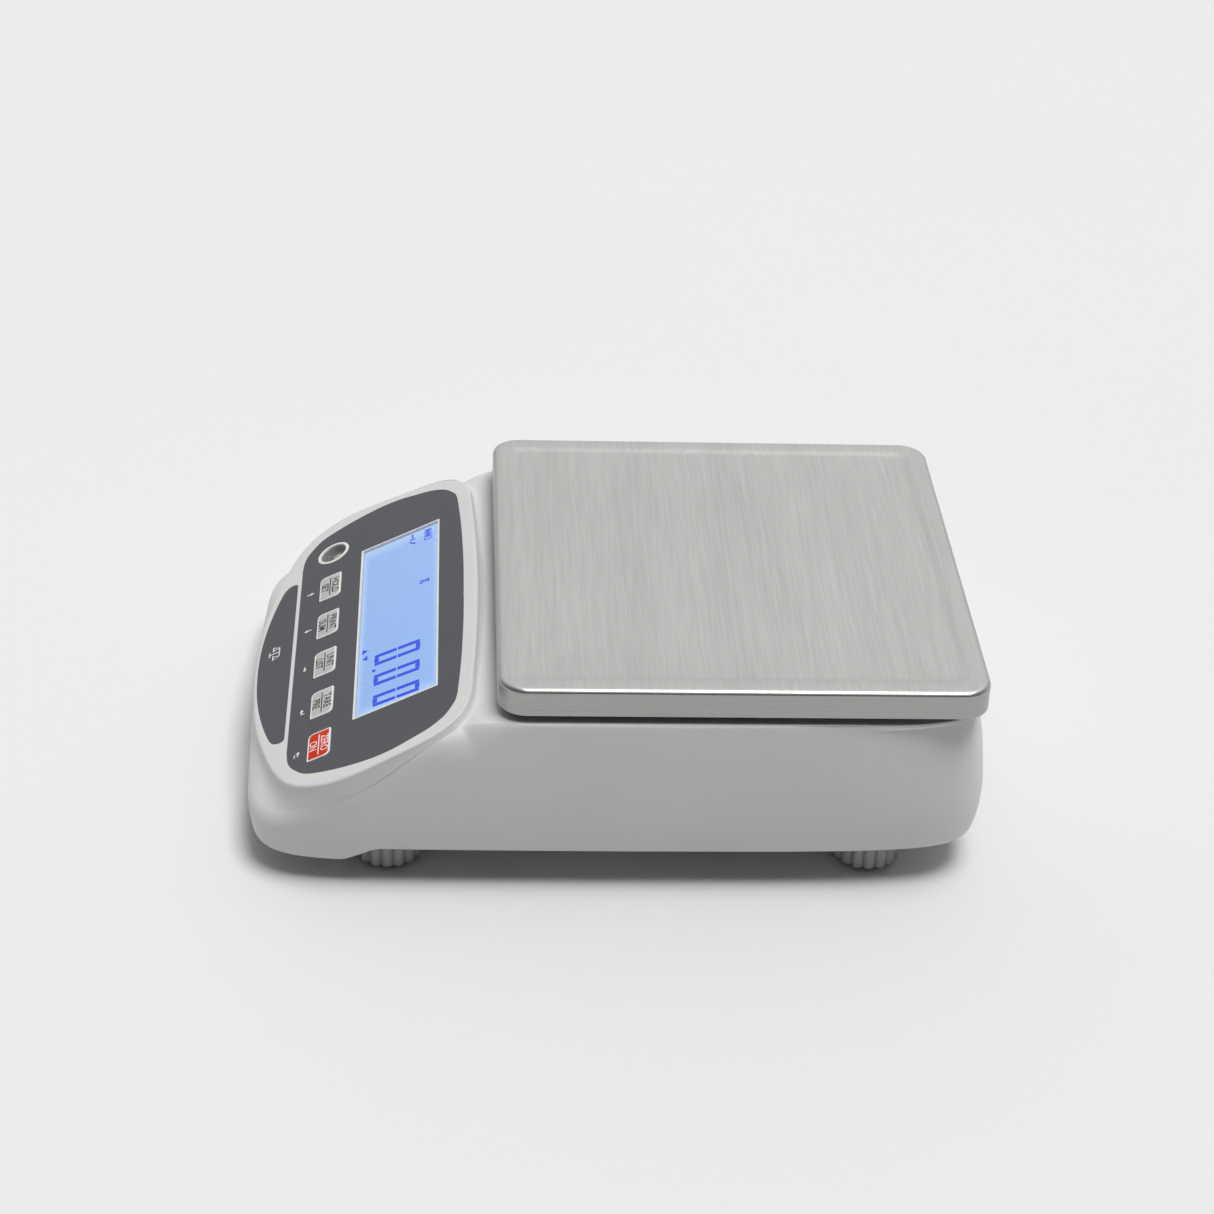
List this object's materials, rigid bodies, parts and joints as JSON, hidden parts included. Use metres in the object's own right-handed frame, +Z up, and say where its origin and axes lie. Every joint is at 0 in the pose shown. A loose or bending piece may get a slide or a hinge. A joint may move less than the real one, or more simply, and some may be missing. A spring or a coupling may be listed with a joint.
{
  "type": "counting scale",
  "caption": "Low bench counting scale: a sloping console with a lit display and press keys in front of a square steel platter on a load cell, on four levelling feet.",
  "frame": {"origin": "centre of the bounding box's bottom face, on the floor between the four feet", "axes": "+Z up, +Y from the operator's console towards the back, +X the operator's right"},
  "size_m": [0.2046, 0.2951, 0.091],
  "materials": {
    "housing_plastic": "fine satin moulding",
    "base_plastic": "fine satin moulding",
    "console_film": "fine matte film",
    "plate_film": "fine matte film",
    "lens": "clear, polished",
    "lcd": "lit light blue",
    "backlight": "white diffuser",
    "holder_plastic": "moulded",
    "key_grey": "satin with a white border",
    "key_red": "satin with a white border",
    "board": "solder mask",
    "chip": "moulded epoxy",
    "level_white": "glossy",
    "level_liquid": "clear liquid",
    "platter_steel": "brushed left to right",
    "screw_steel": "plated",
    "cast_aluminium": "as cast",
    "machined_aluminium": "machined",
    "pad_rubber": "soft",
    "gauge_coat": "sealing compound",
    "cable_grey": "smooth jacket",
    "wire_red": "smooth jacket",
    "wire_black": "smooth jacket",
    "ribbon": "ribbed",
    "battery_case": "moulded",
    "plated_steel": "plated",
    "jack_plastic": "moulded",
    "insert_brass": "turned",
    "knob_plastic": "moulded",
    "sole_rubber": "soft"
  },
  "bodies": {
    "housing": {"upper_housing": "housing_plastic", "housing_posts": "housing_plastic", "base": "base_plastic", "calibration_cover": "console_film", "console_overlay": "console_film", "nameplate": "plate_film", "display_lens": "lens", "lcd_glass": "lcd", "lcd_backlight": "backlight", "lcd_holder": "holder_plastic", "key_switches": "chip", "display_board": "board", "display_chips": "chip", "level_cup": "level_white", "level_fluid": "level_liquid", "level_lens": "lens", "level_ring": "level_white", "load_cell": "machined_aluminium", "gauge_covers": "gauge_coat", "lower_spacer": "machined_aluminium", "cell_screws": "screw_steel", "stop_screw": "screw_steel", "stop_nut": "screw_steel", "cell_cable": "cable_grey", "main_board": "board", "main_chips": "chip", "adc_shield": "plated_steel", "board_screws": "screw_steel", "ribbon_cable": "ribbon", "battery": "battery_case", "battery_lead_red": "wire_red", "battery_lead_black": "wire_black", "dc_jack": "jack_plastic", "serial_port": "plated_steel", "housing_screws": "screw_steel", "foot_inserts": "insert_brass"},
    "platform": {"platform": "cast_aluminium", "upper_spacer": "machined_aluminium", "platform_screws": "screw_steel", "platter_pads": "pad_rubber"},
    "platter": {"platter": "platter_steel"},
    "battery_door": {"battery_door": "base_plastic"},
    "key_hold": {"key_hold": "key_grey"},
    "key_print": {"key_print": "key_grey"},
    "key_unit": {"key_unit": "key_grey"},
    "key_tare": {"key_tare": "key_grey"},
    "key_zero": {"key_zero": "key_red"},
    "foot_sole_front_left": {"foot_sole_front_left": "sole_rubber"},
    "foot_knob_front_left": {"foot_knob_front_left": "knob_plastic", "foot_stud_front_left": "screw_steel"},
    "foot_sole_front_right": {"foot_sole_front_right": "sole_rubber"},
    "foot_knob_front_right": {"foot_knob_front_right": "knob_plastic", "foot_stud_front_right": "screw_steel"},
    "foot_sole_rear_left": {"foot_sole_rear_left": "sole_rubber"},
    "foot_knob_rear_left": {"foot_knob_rear_left": "knob_plastic", "foot_stud_rear_left": "screw_steel"},
    "foot_sole_rear_right": {"foot_sole_rear_right": "sole_rubber"},
    "foot_knob_rear_right": {"foot_knob_rear_right": "knob_plastic", "foot_stud_rear_right": "screw_steel"}
  },
  "joints": [
    {"name": "platform_press", "type": "slide", "parent": "housing", "child": "platform", "axis": [0, 0, 1], "range_m": [-0.0006, 0], "stiffness_N_per_m": 40000, "springref_m": 0.0002, "deforming": ["load_cell"]},
    {"name": "platter_lift", "type": "slide", "parent": "platform", "child": "platter", "axis": [0, 0, 1], "range_m": [0, 0.06]},
    {"name": "battery_door_drop", "type": "slide", "parent": "housing", "child": "battery_door", "axis": [0, 0, -1], "range_m": [0, 0.012]},
    {"name": "key_hold_press", "type": "slide", "parent": "housing", "child": "key_hold", "axis": [0, 0.4524, -0.8918], "range_m": [0, 0.0004], "stiffness_N_per_m": 60, "springref_m": -0.001},
    {"name": "key_print_press", "type": "slide", "parent": "housing", "child": "key_print", "axis": [0, 0.4524, -0.8918], "range_m": [0, 0.0004], "stiffness_N_per_m": 60, "springref_m": -0.001},
    {"name": "key_unit_press", "type": "slide", "parent": "housing", "child": "key_unit", "axis": [0, 0.4524, -0.8918], "range_m": [0, 0.0004], "stiffness_N_per_m": 60, "springref_m": -0.001},
    {"name": "key_tare_press", "type": "slide", "parent": "housing", "child": "key_tare", "axis": [0, 0.4524, -0.8918], "range_m": [0, 0.0004], "stiffness_N_per_m": 60, "springref_m": -0.001},
    {"name": "key_zero_press", "type": "slide", "parent": "housing", "child": "key_zero", "axis": [0, 0.4524, -0.8918], "range_m": [0, 0.0004], "stiffness_N_per_m": 60, "springref_m": -0.001},
    {"name": "foot_front_left_travel", "type": "slide", "parent": "housing", "child": "foot_sole_front_left", "axis": [0, 0, -1], "range_m": [-0.004, 0.008]},
    {"name": "foot_front_left_turn", "type": "hinge", "parent": "foot_sole_front_left", "child": "foot_knob_front_left", "pos_m": [-0.079, -0.0895, 0.0072], "axis": [0, 0, -1], "range_deg": [-1153, 2305]},
    {"name": "foot_front_right_travel", "type": "slide", "parent": "housing", "child": "foot_sole_front_right", "axis": [0, 0, -1], "range_m": [-0.004, 0.008]},
    {"name": "foot_front_right_turn", "type": "hinge", "parent": "foot_sole_front_right", "child": "foot_knob_front_right", "pos_m": [0.079, -0.0895, 0.0072], "axis": [0, 0, -1], "range_deg": [-1153, 2305]},
    {"name": "foot_rear_left_travel", "type": "slide", "parent": "housing", "child": "foot_sole_rear_left", "axis": [0, 0, -1], "range_m": [-0.004, 0.008]},
    {"name": "foot_rear_left_turn", "type": "hinge", "parent": "foot_sole_rear_left", "child": "foot_knob_rear_left", "pos_m": [-0.079, 0.1025, 0.0072], "axis": [0, 0, -1], "range_deg": [-1153, 2305]},
    {"name": "foot_rear_right_travel", "type": "slide", "parent": "housing", "child": "foot_sole_rear_right", "axis": [0, 0, -1], "range_m": [-0.004, 0.008]},
    {"name": "foot_rear_right_turn", "type": "hinge", "parent": "foot_sole_rear_right", "child": "foot_knob_rear_right", "pos_m": [0.079, 0.1025, 0.0072], "axis": [0, 0, -1], "range_deg": [-1153, 2305]}
  ],
  "couplings": [
    {"joint": "foot_front_left_turn", "follows": "foot_front_left_travel", "rad_per_m": 5026.5},
    {"joint": "foot_front_right_turn", "follows": "foot_front_right_travel", "rad_per_m": 5026.5},
    {"joint": "foot_rear_left_turn", "follows": "foot_rear_left_travel", "rad_per_m": 5026.5},
    {"joint": "foot_rear_right_turn", "follows": "foot_rear_right_travel", "rad_per_m": 5026.5}
  ]
}
